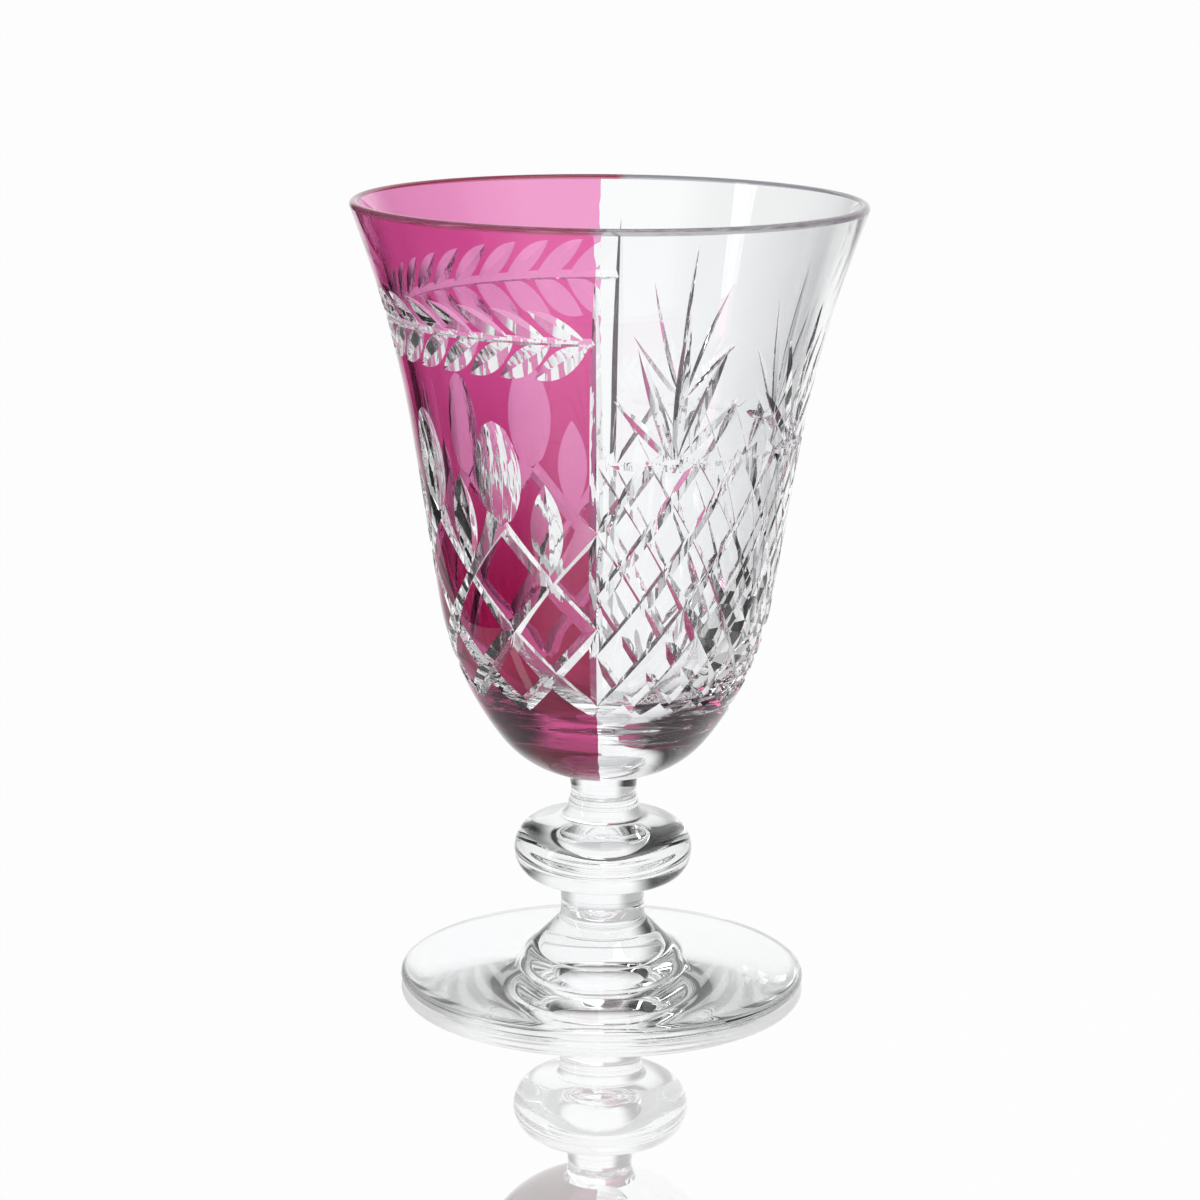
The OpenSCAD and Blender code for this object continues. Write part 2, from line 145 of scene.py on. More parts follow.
class GlassColours(bpy.types.PropertyGroup):
    clear: bpy.props.FloatVectorProperty(
        name="Clear glass", description="Tint of the clear glass", size=3,
        default=(0.975, 0.985, 0.99), subtype="COLOR", min=0, max=1)
    ruby: bpy.props.FloatVectorProperty(
        name="Ruby", description="Tint of the ruby layer on the lower half of the bowl",
        size=3, default=(0.29, 0.004, 0.05), subtype="COLOR", min=0, max=1)
    # painted shade: the ruby at the bowl's round bottom is darkened to stand in for the shade under the bowl
    ruby_bottom_shade: bpy.props.FloatVectorProperty(
        name="Ruby at the bottom", description="Tint of the ruby layer on the bowl's round bottom",
        size=3, default=(0.07, 0.0006, 0.008), subtype="COLOR", min=0, max=1)
    ruby_thin: bpy.props.FloatVectorProperty(
        name="Ruby at the rim", description="Tint of the ruby layer where it runs out thin",
        size=3, default=(0.80, 0.095, 0.36), subtype="COLOR", min=0, max=1)
    ruby_slant: bpy.props.FloatVectorProperty(
        name="Ruby at a slant", description="Tint of the ruby layer seen at a slant", size=3,
        default=(0.30, 0.004, 0.05), subtype="COLOR", min=0, max=1)
    # painted shade: both rim tints darken the rim into the dark line that the rim's refraction of the dark
    # surroundings shows
    rim: bpy.props.FloatVectorProperty(
        name="Rim", description="Tint of the fire-polished rim, which reads as a dark line", size=3,
        default=(0.32, 0.32, 0.35), subtype="COLOR", min=0, max=1)
    rim_ruby_shade: bpy.props.FloatVectorProperty(
        name="Ruby rim", description="Tint of the rim over the ruby half", size=3,
        default=(0.30, 0.03, 0.08), subtype="COLOR", min=0, max=1)


# The outline of the glass, in millimetres


class Outline:
    """The chain of arcs that makes the bowl, and the heights of the joints under it."""

    def __init__(self, scene):
        stem, bowl = scene.stem_sizes, scene.bowl_sizes
        self.foot_z = stem.foot_h / MM
        self.knop_z = self.foot_z + stem.collar_h / MM
        self.shank_z = self.knop_z + stem.knop_h / MM
        self.base_z = self.shank_z + stem.shank_h / MM
        self.foot_r = stem.foot_r / MM
        self.knop_r = stem.knop_r / MM
        self.wall_t = bowl.wall_t / MM
        self.rim_t = bowl.rim_t / MM
        self.casing_t = bowl.casing_t / MM
        self.clear_a = 360 - math.degrees(bowl.casing_span)
        self.ragged = math.degrees(bowl.casing_edge)
        self.collar_r = 8.05
        self.waist_r, self.waist_curve = 6.25, 6.8
        self.waist_z = self.shank_z + 0.44 * stem.shank_h / MM
        self.base_r = self.neck_r(self.base_z)
        # leans from upright where the arcs meet, and the height of each part from the base to the rim
        self.low_a, self.heel_a, self.wall_a, self.lip_a = 80, 38, 9, 21.5
        low_h, heel_h, wall_h, lip_h = 7.6, 26.8, 30.5, 42.2
        self.heel_z = self.base_z + low_h
        self.wall_z = self.heel_z + heel_h
        self.lip_z = self.wall_z + wall_h
        self.rim_z = self.lip_z + lip_h
        self.low_r = low_h / (sin(self.low_a) - sin(self.heel_a))
        self.heel_r = heel_h / (sin(self.heel_a) - sin(self.wall_a))
        self.lip_r = lip_h / (sin(self.lip_a) - sin(self.wall_a))
        heel_x = self.base_r + self.low_r * (cos(self.heel_a) - cos(self.low_a))
        self.wall_x = heel_x + self.heel_r * (cos(self.wall_a) - cos(self.heel_a))
        self.lip_x = self.wall_x + wall_h * tan(self.wall_a)
        self.low_c = (heel_x - self.low_r * cos(self.heel_a), self.heel_z + self.low_r * sin(self.heel_a))
        self.heel_c = (heel_x - self.heel_r * cos(self.heel_a), self.heel_z + self.heel_r * sin(self.heel_a))
        self.lip_c = (self.lip_x + self.lip_r * cos(self.wall_a), self.lip_z - self.lip_r * sin(self.wall_a))
        # how far the outer side draws in at the rim
        self.inset = 0.19
        high = (self.lip_r + self.wall_t / 2) * sin(self.lip_a) + (self.wall_t - self.rim_t) / 2
        self.top_a = arcsin(high / (self.lip_r + self.inset + self.rim_t / 2))
        self.rim_c = self.lip_point(self.top_a, self.inset + self.rim_t / 2)
        inner_x = self.wall_x - self.wall_t / cos(self.wall_a)
        floor_z = self.base_z + bowl.floor_t / MM
        wall_sin, wall_cos = sin(self.wall_a), cos(self.wall_a)
        self.round_z = (floor_z + inner_x * wall_cos - self.wall_z * wall_sin) / (1 - wall_sin)
        self.round_r = self.round_z - floor_z
        self.pattern_z = self.wall_z - 0.575 * heel_h
        self.lozenge_z = self.pattern_z + 33.6
        self.border_z = self.pattern_z + 47

    def neck_r(self, z):
        """Radius of the waisted shank."""
        return self.waist_r + self.waist_curve - math.sqrt(self.waist_curve**2 - (z - self.waist_z) ** 2)

    def lean(self, z):
        """How far the outer wall leans from upright, in degrees."""
        if z < self.heel_z:
            return arcsin(min(1, (self.low_c[1] - z) / self.low_r))
        if z < self.wall_z:
            return arcsin((self.heel_c[1] - z) / self.heel_r)
        if z < self.lip_z:
            return self.wall_a
        return arcsin((z - self.lip_c[1]) / self.lip_r)

    def wall_r(self, z):
        """Radius of the outer wall."""
        if z < self.heel_z:
            return self.low_c[0] + self.low_r * cos(self.lean(z))
        if z < self.wall_z:
            return self.heel_c[0] + self.heel_r * cos(self.lean(z))
        if z < self.lip_z:
            return self.wall_x + (z - self.wall_z) * tan(self.wall_a)
        return self.lip_c[0] - self.lip_r * cos(self.lean(z))

    def lip_point(self, a, t):
        """A point of the lip's arc at the lean a, moved inwards by t."""
        return (self.lip_c[0] - (self.lip_r + t) * cos(a), self.lip_c[1] + (self.lip_r + t) * sin(a))

    def outer_lip(self, a, t=0.0):
        """A point of the lip's outer side moved inwards by t. The side draws in a little at the rim."""
        s = (a - self.wall_a) / (self.top_a - self.wall_a)
        return self.lip_point(a, t + self.inset * s**6)

    def inner_lip(self, a):
        """A point of the lip's inner side, which draws nearer to the outer side towards the rim."""
        s = (a - self.wall_a) / (self.top_a - self.wall_a)
        return self.lip_point(a, self.wall_t - (self.wall_t - self.rim_t - self.inset) * s * s)

    def outward(self, az, z):
        """The outer wall's outward direction. Azimuths go from the front to the clear side."""
        a = self.lean(z)
        return np.array([cos(a) * sin(az), -cos(a) * cos(az), -sin(a)])

    def under(self, az, z, depth):
        """A point so deep under the outer wall."""
        r = self.wall_r(z)
        return np.array([r * sin(az), -r * cos(az), z]) - depth * self.outward(az, z)

    def outer(self, t):
        """Points of the outer wall moved inwards by t, from the base to the rim."""
        rows = []
        (low_x, low_z), (heel_x, heel_z) = self.low_c, self.heel_c
        low_r, heel_r = self.low_r - t, self.heel_r - t
        for a in np.linspace(self.low_a, self.heel_a, 13):
            rows.append((low_x + low_r * cos(a), low_z - low_r * sin(a)))
        for a in np.linspace(self.heel_a, self.wall_a, 18)[1:]:
            rows.append((heel_x + heel_r * cos(a), heel_z - heel_r * sin(a)))
        line_x = self.wall_x - t / cos(self.wall_a)
        for z in np.linspace(self.wall_z, self.lip_z, 10)[1:-1] + t * sin(self.wall_a):
            rows.append((line_x + (z - self.wall_z) * tan(self.wall_a), z))
        for a in np.linspace(self.wall_a, self.top_a, 26):
            rows.append(self.outer_lip(a, t))
        return rows

    def rim(self):
        """Points of the rounded rim, from the outer to the inner side."""
        turn, r = np.linspace(-self.top_a, 180 - self.top_a, 15), self.rim_t / 2
        return [(self.rim_c[0] + r * cos(a), self.rim_c[1] + r * sin(a)) for a in turn[1:-1]]

    def hollow(self):
        """Points of the inner wall from the rim down to the floor."""
        rows = [self.inner_lip(a) for a in np.linspace(self.top_a, self.wall_a, 26)]
        line_x = self.wall_x - self.wall_t / cos(self.wall_a)
        top = rows[-1][1]
        touch = self.round_z - self.round_r * sin(self.wall_a)
        for z in np.linspace(top, touch, 10)[1:-1]:
            rows.append((line_x + (z - self.wall_z) * tan(self.wall_a), z))
        for a in np.linspace(-self.wall_a, -90, 30):
            rows.append((self.round_r * cos(a), self.round_z + self.round_r * sin(a)))
        return rows


# Meshes, in millimetres until they are shaded


def mesh_object(name, verts, faces, kinds):
    """An object whose faces carry their kinds."""
    mesh = bpy.data.meshes.new(name)
    mesh.from_pydata([tuple(v) for v in verts], [], faces)
    kind = mesh.attributes.new("kind", "INT", "FACE")
    kind.data.foreach_set("value", kinds)
    return bpy.data.objects.new(name, mesh)


def tidy_mesh(obj, gap=1e-5, turn_out=True):
    """Joins points that coincide and, if asked, turns all faces outwards."""
    bm = bmesh.new()
    bm.from_mesh(obj.data)
    bmesh.ops.remove_doubles(bm, verts=bm.verts, dist=gap)
    bmesh.ops.dissolve_degenerate(bm, dist=gap, edges=bm.edges)
    if turn_out:
        bmesh.ops.recalc_face_normals(bm, faces=bm.faces)
    bm.to_mesh(obj.data)
    bm.free()
    return obj


def sweep(name, columns, kinds, closed_round=True):
    """A skin over columns of points. Each column is a closed ring, and kinds names its faces."""
    n, m = len(columns), len(columns[0])
    verts = [p for column in columns for p in column]
    faces, marks = [], []
    for i in range(n if closed_round else n - 1):
        here, there = i * m, (i + 1) % n * m
        for k in range(m):
            after = (k + 1) % m
            faces.append((here + k, there + k, there + after, here + after))
            marks.append(kinds[k])
    if not closed_round:
        faces += [tuple(range(m)), tuple((n - 1) * m + k for k in reversed(range(m)))]
        marks += [kinds[0], kinds[0]]
    return mesh_object(name, verts, faces, marks)


def turned(outline, az, ragged=0.0):
    """The outline turned to an azimuth, with a ragged edge's steps of up to so many degrees."""
    return [(r * sin(az + ragged * wander(z)), -r * cos(az + ragged * wander(z)), z) for r, z in outline]


def wander(z):
    """An uneven wave between about -1 and 1 that goes up and down with the height."""
    return 0.5 * math.sin(1.9 * z) + 0.3 * math.sin(4.3 * z + 1) + 0.2 * math.sin(0.7 * z + 2)


def lathe(name, outline, kinds):
    """The outline turned once round the axis."""
    return tidy_mesh(sweep(name, [turned(outline, 360 * i / AROUND) for i in range(AROUND)], kinds))


# The cutter's wheels


class Wheels:
    """Collects the bodies that the wheels sweep, with what is needed for the facets' smooth shading."""

    def __init__(self, outline, sizes):
        self.o = outline
        self.reach = outline.wall_t
        # length of a facet along a groove
        self.step = 1.2
        self.mitre_a = math.degrees(sizes.mitre_angle)
        self.leaf_a = math.degrees(sizes.leaf_angle)
        self.bodies = []
        self.facts = []

    def _add(self, columns, facts):
        kind = CUT + len(self.facts)
        name = "wheel_%03d" % len(self.facts)
        self.bodies.append(tidy_mesh(sweep(name, columns, [kind] * len(columns[0]), False), 1e-7))
        self.facts.append(facts)

    def glass(self, kind):
        """The material of a cut's faces: the wide ovals show the wheel's streaks most."""
        return "oval_cut_glass" if self.facts[kind - CUT][0] == "olive" else "cut_glass"

    def mitre(self, a, m, b, out, angle, run_on=0.0):
        """The body that a mitre wheel's edge sweeps along the arc from a by way of m to b.

        out is the wall's outward direction at m, and run_on carries the arc on at both ends.
        """
        am, ab = m - a, b - a
        n = np.cross(am, ab)
        centre = a + np.cross((am @ am) * ab - (ab @ ab) * am, n) / (2 * n @ n)
        r = np.linalg.norm(m - centre)
        ex, ez = (m - centre) / r, n / np.linalg.norm(n)
        ey = np.cross(ez, ex)
        side = 1 if ex @ out > 0 else -1
        more = run_on / r
        start = math.atan2((a - centre) @ ey, (a - centre) @ ex) - more
        end = math.atan2((b - centre) @ ey, (b - centre) @ ex) + more
        half_w = self.reach * tan(angle / 2)
        columns = []
        for t in np.linspace(start, end, max(6, int((end - start) * r / self.step))):
            er = math.cos(t) * ex + math.sin(t) * ey
            far = centre + er * (r + side * self.reach)
            columns.append([centre + er * r, far + ez * half_w, far - ez * half_w])
        self._add(columns, ("mitre", centre, ez, side, angle / 2))

    def cut(self, p0, p1, p2, angle, run_on=0.0):
        """A cut square into the wall from p0 by way of p1 to p2, each an azimuth, a height and a depth."""
        a, b = self.o.under(*p0), self.o.under(*p2)
        out = self.o.outward(p1[0], p1[1])
        middle = (a + b) / 2
        m = middle + ((self.o.under(*p1) - middle) @ out) * out
        self.mitre(a, m, b, out, angle, run_on)

    def ring(self, z, depth):
        """A groove round the ruby half."""
        r, h = self.o.wall_r(z) - depth, self.reach * tan(self.mitre_a / 2)
        outline = [(r, z), (r + self.reach, z + h), (r + self.reach, z - h)]
        columns = [[np.array(p) for p in turned(outline, az)] for az in np.linspace(-180, 0, 91)]
        self._add(columns, ("mitre", np.array([0, 0, z]), np.array([0, 0, 1.0]), 1, self.mitre_a / 2))

    def olive(self, az, z, half_h, depth, edge_r):
        """An oval cut by a wheel with a rounded edge."""
        o = self.o
        wheel_r = (half_h**2 + depth**2) / (2 * depth)
        out, across = o.outward(az, z), np.array([cos(az), sin(az), 0])
        up = np.cross(across, out)
        centre = o.under(az, z, 0) + out * (wheel_r - depth)
        sweep_a = 1.5 * math.asin(half_h / wheel_r)
        ring_r = wheel_r - edge_r
        turn = np.linspace(0, TAU, 40, endpoint=False)
        columns = []
        for t in np.linspace(-sweep_a, sweep_a, 25):
            er = -out * math.cos(t) + up * math.sin(t)
            columns.append([centre + er * (ring_r + edge_r * math.cos(s)) + across * edge_r * math.sin(s)
                            for s in turn])
        self._add(columns, ("olive", centre, across, ring_r, edge_r))

    def crossed(self, az0, az1, steps, top, n, depth):
        """Two hands of crossed grooves over n rows, the right hand's cut a little deeper."""
        a = (az1 - az0) / steps
        for right in (False, True):
            tip = 1.1 * depth if right else depth
            for s in range(2 - n, steps - 1, 2):
                first, last = max(0, -s), min(n, steps - s)
                p = [(az1 - a * (s + i) if right else az0 + a * (s + i), self.row_z(top, i, n), tip)
                     for i in (first, (first + last) / 2, last)]
                self.cut(*p, self.mitre_a, depth / 2)

    def row_z(self, top, i, n):
        """Height of the i-th of n rows of crossings, which lie closer towards the bottom."""
        return top - (top - self.o.pattern_z) * i / n * (1 + 0.13 * (1 - i / n))

    def lozenges(self, depth):
        self.crossed(-180, 0, LOZENGE_STEPS, self.o.lozenge_z, LOZENGE_ROWS, depth)

    def ovals_and_lenses(self):
        """Ovals over the tips of the lozenge field, and pointed lenses in the notches between them."""
        pitch, gap = 30, 0.8
        oval_h, oval_depth, oval_edge = 9.5, 1.1, 16
        lens_h, lens_depth = 8.9, 1.2
        top = self.o.lozenge_z
        for i in range(1, 6):
            self.olive(-pitch * i, top + gap + oval_h, oval_h, oval_depth, oval_edge)
        low = self.row_z(top, 1, LOZENGE_ROWS) + gap
        for i in range(6):
            az = -pitch * (i + 0.5)
            self.cut((az, low, 0), (az, low + lens_h, lens_depth), (az, low + 2 * lens_h, 0), self.leaf_a)

    def laurel(self):
        """A stem line round the ruby half, with a leaf up and a leaf down at each step."""
        z, line_depth, off_line = self.o.rim_z - 19.1, 0.45, 0.11
        pitch, span, pairs = 9.6, 14.4, 18
        self.ring(z, line_depth)
        for i in range(pairs):
            for start, rise, depth in ((0.2, 5.8, 0.6), (0.15, -6.6, 0.78)):
                az, foot = -pitch * (i + start), z + math.copysign(off_line, rise)
                self.cut((az, foot, 0), (az - span / 2, foot + rise / 2, depth), (az - span, foot + rise, 0),
                         self.leaf_a)

    def flutes(self, depth):
        """A flute down each seam, in one cut each along the lip, the wall and the heel."""
        o = self.o
        top, run_on = o.rim_z - 5.5, 0.3
        for az in (0, 180):
            self.cut((az, top, 0), (az, (top + o.lip_z) / 2, depth * 0.8), (az, o.lip_z, depth), self.mitre_a)
            self.cut((az, o.lip_z, depth), (az, (o.lip_z + o.wall_z) / 2, depth * 1.1), (az, o.wall_z, depth),
                     self.mitre_a, run_on)
            self.cut((az, o.wall_z, depth), (az, (o.wall_z + o.pattern_z) / 2, depth),
                     (az, o.pattern_z, depth * 0.8), self.mitre_a)

    def diamonds(self, depth):
        self.crossed(0, 180, DIAMOND_STEPS, self.o.border_z, DIAMOND_ROWS, depth)

    def fans(self):
        """Four fans of five rays, with an arc of the border line under each."""
        pitch, gather = 45, 0.06
        border_z, border_depth = self.o.border_z, 0.85
        foot_z = border_z + border_depth
        # each ray's spread in degrees, height and depth
        rays = ((-18, 11, 0.68), (-12.2, 20.5, 0.77), (0, 27, 0.85), (12.2, 20.5, 0.75), (18, 11, 0.66))
        for i in range(4):
            middle = pitch * (i + 0.5)
            for spread, high, deep in rays:
                self.cut((middle + gather * spread, foot_z, deep / 2),
                         (middle + spread / 2, foot_z + high / 2, deep),
                         (middle + spread, foot_z + high, 0), self.mitre_a)
            self.cut((middle - pitch / 2, border_z, 0), (middle, border_z, border_depth),
                     (middle + pitch / 2, border_z, 0), self.mitre_a)


def cut_away(obj, bodies):
    """The object with the wheels' bodies cut out of it."""
    scene = bpy.context.scene
    scene.collection.objects.link(obj)
    box = bpy.data.collections.new("wheels")
    for body in bodies:
        box.objects.link(body)
    cutter = obj.modifiers.new("wheels", "BOOLEAN")
    cutter.solver, cutter.operation = "MANIFOLD", "DIFFERENCE"
    cutter.operand_type, cutter.collection = "COLLECTION", box
    graph = bpy.context.evaluated_depsgraph_get()
    whole = obj.evaluated_get(graph)
    mesh = bpy.data.meshes.new_from_object(whole, preserve_all_data_layers=True, depsgraph=graph)
    obj.modifiers.remove(cutter)
    if not any(item.value >= CUT for item in mesh.attributes["kind"].data):
        raise RuntimeError("the wheels cut nothing from " + obj.name)
    obj.data = mesh
    bpy.data.collections.remove(box)
    return obj


def lip_lean(o, side, z):
    """Lean from upright of one side of the lip at heights z."""
    points = np.array([side(a) for a in np.linspace(o.wall_a, o.top_a, 200)])
    step = np.diff(points, axis=0)
    return np.interp(z, (points[1:, 1] + points[:-1, 1]) / 2, np.arctan2(step[:, 0], step[:, 1]))


def surface_normals(o, points, kind):
    """The glass's true outward direction at points of the polished wall."""
    r = np.hypot(points[:, 0], points[:, 1])
    z = points[:, 2]
    safe = np.maximum(r, 1e-9)
    radial = np.stack([points[:, 0] / safe, points[:, 1] / safe], 1)
    if kind == RIM:
        across, up = r - o.rim_c[0], z - o.rim_c[1]
    elif kind == OUTER:
        lean = np.radians(np.array([o.lean(min(max(h, o.base_z), o.lip_z)) for h in z]))
        lean = np.where(z > o.lip_z, lip_lean(o, o.outer_lip, z), lean)
        across, up = np.cos(lean), -np.sin(lean)
    else:
        touch = o.round_z - o.round_r * sin(o.wall_a)
        lean = np.where(z > o.inner_lip(o.wall_a)[1], lip_lean(o, o.inner_lip, z), math.radians(o.wall_a))
        ball = np.arcsin(np.clip((o.round_z - z) / o.round_r, -1, 1))
        lean = np.where(z < touch, ball, lean)
        across, up = -np.cos(lean), np.sin(lean)
    n = np.stack([radial[:, 0] * across, radial[:, 1] * across, up], 1)
    return n / np.linalg.norm(n, axis=1, keepdims=True)


def facet_normals(facts, points, middles):
    """The glass's outward direction at corners of the facets that a wheel has left.

    middles are those of the corners' faces. They tell a groove's flanks apart, also at its bottom.
    """
    kind, centre, axis = facts[:3]
    q = points - centre
    er = q - (q @ axis)[:, None] * axis
    er /= np.maximum(np.linalg.norm(er, axis=1), 1e-9)[:, None]
    if kind == "mitre":
        side, half = facts[3:]
        flank = np.sign((middles - centre) @ axis)[:, None]
        return -flank * cos(half) * axis + side * sin(half) * er
    ring_r, edge_r = facts[3:]
    n = -(q - er * ring_r) / edge_r
    return n / np.linalg.norm(n, axis=1, keepdims=True)


def read(items, name, width=1, kind=np.float64):
    """One property of all the items as an array."""
    values = np.zeros(len(items) * width, kind)
    items.foreach_get(name, values)
    return values.reshape(-1, width) if width > 1 else values


def shade(obj, o, wheels):
    """Sets the mesh's corner normals from the true surfaces, and scales it to metres."""
    mesh = obj.data
    kinds = read(mesh.attributes["kind"].data, "value", kind=np.int32)
    verts = read(mesh.vertices, "co", 3)
    flat = read(mesh.polygons, "normal", 3)
    middles = read(mesh.polygons, "center", 3)
    starts = read(mesh.polygons, "loop_start", kind=np.int32)
    totals = read(mesh.polygons, "loop_total", kind=np.int32)
    corner_vert = read(mesh.loops, "vertex_index", kind=np.int32)
    corner_face = np.zeros(len(mesh.loops), np.int32)
    order = np.concatenate([np.arange(s, s + t) for s, t in zip(starts, totals)])
    corner_face[order] = np.repeat(np.arange(len(kinds)), totals)
    corner_kind = kinds[corner_face]
    normals = flat[corner_face]
    for kind in np.unique(kinds):
        if kind == FUSED:
            continue
        pick = corner_kind == kind
        points, faces = verts[corner_vert[pick]], corner_face[pick]
        if kind >= CUT:
            n = facet_normals(wheels.facts[kind - CUT], points, middles[faces])
        else:
            n = surface_normals(o, points, kind)
        # where a corner lies off its surface, the face's own direction is kept
        bad = np.einsum("ij,ij->i", n, flat[faces]) < 0.8
        n[bad] = flat[faces][bad]
        normals[pick] = n
    mesh.transform(Matrix.Scale(MM, 4))
    mesh.polygons.foreach_set("use_smooth", [True] * len(kinds))
    mesh.normals_split_custom_set([tuple(v) for v in normals])
    mesh.update()
    return kinds


# Materials


class Value:
    """A socket with the arithmetic operators, each of which adds a Math node."""

    def __init__(self, paint, socket):
        self.paint, self.socket = paint, socket

    def _do(self, operation, *values):
        return self.paint.node("ShaderNodeMath", {"operation": operation}, dict(enumerate(values)))

    def __add__(self, other):
        return self._do("ADD", self, other)

    def __mul__(self, other):
        return self._do("MULTIPLY", self, other)

    def __sub__(self, other):
        return self._do("SUBTRACT", self, other)

    def __rsub__(self, other):
        return self._do("SUBTRACT", other, self)

    __radd__, __rmul__ = __add__, __mul__


class Paint:
    """A material's node tree."""

    def __init__(self, name=None, world=None):
        self.owner = world or bpy.data.materials.new(name)
        self.owner.use_nodes = True
        self.tree = self.owner.node_tree
        self.tree.nodes.clear()

    def node(self, kind, settings=None, inputs=None, output=0):
        """Adds a node with its settings and its sockets' values or links, and returns one output."""
        n = self.tree.nodes.new(kind)
        for key, value in (settings or {}).items():
            setattr(n, key, value)
        for key, value in (inputs or {}).items():
            socket = n.inputs[key]
            if isinstance(value, Value):
                self.tree.links.new(value.socket, socket)
            else:
                socket.default_value = value
        return Value(self, n.outputs[output])

    def noise(self, place, scale, detail, roughness):
        return self.node("ShaderNodeTexNoise", {"noise_dimensions": "3D"},
                         {"Vector": place, "Scale": scale, "Detail": detail, "Roughness": roughness})

    def fade(self, value, start, end, first=0.0, last=1.0):
        """A smooth step from first to last while the value goes from start to end."""
        return self.node("ShaderNodeMapRange", {"interpolation_type": "SMOOTHSTEP"},
                         {0: value, 1: start, 2: end, 3: first, 4: last})

    def blend(self, factor, first, last):
        """A mix of two colours."""
        return self.node("ShaderNodeMix", {"data_type": "RGBA", "clamp_factor": True},
                         {0: factor, 6: first, 7: last}, 2)

    def crystal(self, tint, **more):
        """The finished material, smooth crystal of a tint."""
        inputs = {"Base Color": tint, "Roughness": 0.0, "IOR": GLASS_IOR, "Transmission Weight": 1.0}
        return self.finish(self.node("ShaderNodeBsdfPrincipled", {}, {**inputs, **more}))

    def finish(self, shader, world=False):
        kind = "ShaderNodeOutputWorld" if world else "ShaderNodeOutputMaterial"
        out = self.tree.nodes.new(kind)
        self.tree.links.new(shader.socket, out.inputs["Surface"])
        return self.owner


def rgba(colour):
    return (colour[0], colour[1], colour[2], 1)


def glass(name, tint):
    """Polished glass with the faint waves of hand work."""
    p = Paint(name)
    waves = p.noise(p.node("ShaderNodeTexCoord", output=3), 60.0, 1.0, 0.4)
    bump = p.node("ShaderNodeBump", {}, {"Strength": 0.012, "Distance": 0.002, "Height": waves})
    return p.crystal(rgba(tint), Normal=bump)


def rim_glass(name, clear, red):
    """The rounded rim, darkened with painted shade into a dark line, red over the ruby half."""
    p = Paint(name)
    across = p.node("ShaderNodeSeparateXYZ", {}, {0: p.node("ShaderNodeTexCoord", output=3)})
    # clear is the dark grey painted shade tint over the clear half, red the dark red one over the ruby half
    return p.crystal(p.blend(p.fade(across, -0.0015, 0.0015), rgba(red), rgba(clear)))


def ruby(name, low, thin, deep, slant):
    """The ruby layer, darkened low down by painted shade, deeper where it is seen at a slant, and a little
    uneven.
    """
    p = Paint(name)
    place = p.node("ShaderNodeTexCoord", output=3)
    uneven = p.noise(place, 35.0, 2.0, 0.5)
    facing = p.node("ShaderNodeLayerWeight", {}, {"Blend": 0.35}, 1)
    z = p.node("ShaderNodeSeparateXYZ", {}, {0: place}, 2)
    towards_rim = p.fade(z, 0.065, 0.14)
    # painted shade: towards the bowl's round bottom the ruby fades to the deep tint, which stands in for the
    # shade under the bowl
    bottom_shade = p.fade(z, 0.058, 0.046)
    body = p.blend(towards_rim + (uneven - 0.5) * 0.3, rgba(low), rgba(thin))
    body = p.blend(bottom_shade, body, rgba(deep))
    return p.crystal(p.blend(facing * 0.55 * (1 - bottom_shade), body, rgba(slant)))


def cut_face(name, tint, streaks):
    """A wheel's facet, polished but for the fine streaks that the wheel has left."""
    p = Paint(name)
    place = p.node("ShaderNodeTexCoord", output=3)
    long = p.node("ShaderNodeMapping", {"vector_type": "POINT"}, {0: place, 3: (1, 1, 0.12)})
    streak = p.noise(long, 900.0, 1.0, 0.5)
    bump = p.node("ShaderNodeBump", {}, {"Strength": streaks, "Distance": 0.001, "Height": streak})
    return p.crystal(rgba(tint), Normal=bump)


def fused(name):
    """Where two gathers of glass are fused there is no surface to see."""
    p = Paint(name)
    return p.finish(p.node("ShaderNodeBsdfTransparent"))


def material(name):
    """A material that all pieces share, made at its first use."""
    if name in bpy.data.materials:
        return bpy.data.materials[name]
    c = bpy.context.scene.glass_colours
    maker, *values = {
        "polished_glass": (glass, c.clear),
        "cut_glass": (cut_face, c.clear, 0.035),
        "oval_cut_glass": (cut_face, c.clear, 0.12),
        # the rim's tints and the ruby's bottom tint are painted shade
        "rim_glass": (rim_glass, c.rim, c.rim_ruby_shade),
        "ruby_layer": (ruby, c.ruby, c.ruby_thin, c.ruby_bottom_shade, c.ruby_slant),
        "fused_joint": (fused,),
    }[name]
    return maker(name, *values)


def glass_of(kind, wheels, skin):
    """The name of the material for a kind of face. skin is that of the faces which aren't cut."""
    if kind == FUSED:
        return "fused_joint"
    return wheels.glass(kind) if kind >= CUT else skin


def place(obj, node, slot, faces, names):
    """Gives the piece its materials, one name for each face kind, and sets it on its body."""
    if obj.name not in bpy.context.scene.objects:
        bpy.context.scene.collection.objects.link(obj)
    name_of = {k: names(k) for k in np.unique(faces)}
    used = sorted(set(name_of.values()))
    # the cutting leaves empty slots
    obj.data.materials.clear()
    for name in used:
        obj.data.materials.append(material(name))
    obj.data.polygons.foreach_set("material_index", [used.index(name_of[k]) for k in faces])
    obj.data.update()
    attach(obj, "root")
    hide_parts(node)


def wheels_for(scene, clear_side):
    """The outline, and the wheels that cut the ruby half or both halves."""
    o, s = Outline(scene), scene.cut_sizes
    w = Wheels(o, s)
    w.lozenges(s.lozenge_depth / MM)
    w.ovals_and_lenses()
    w.laurel()
    w.flutes(s.flute_depth / MM)
    if clear_side:
        w.diamonds(s.diamond_depth / MM)
        w.fans()
    return o, w


# Operators


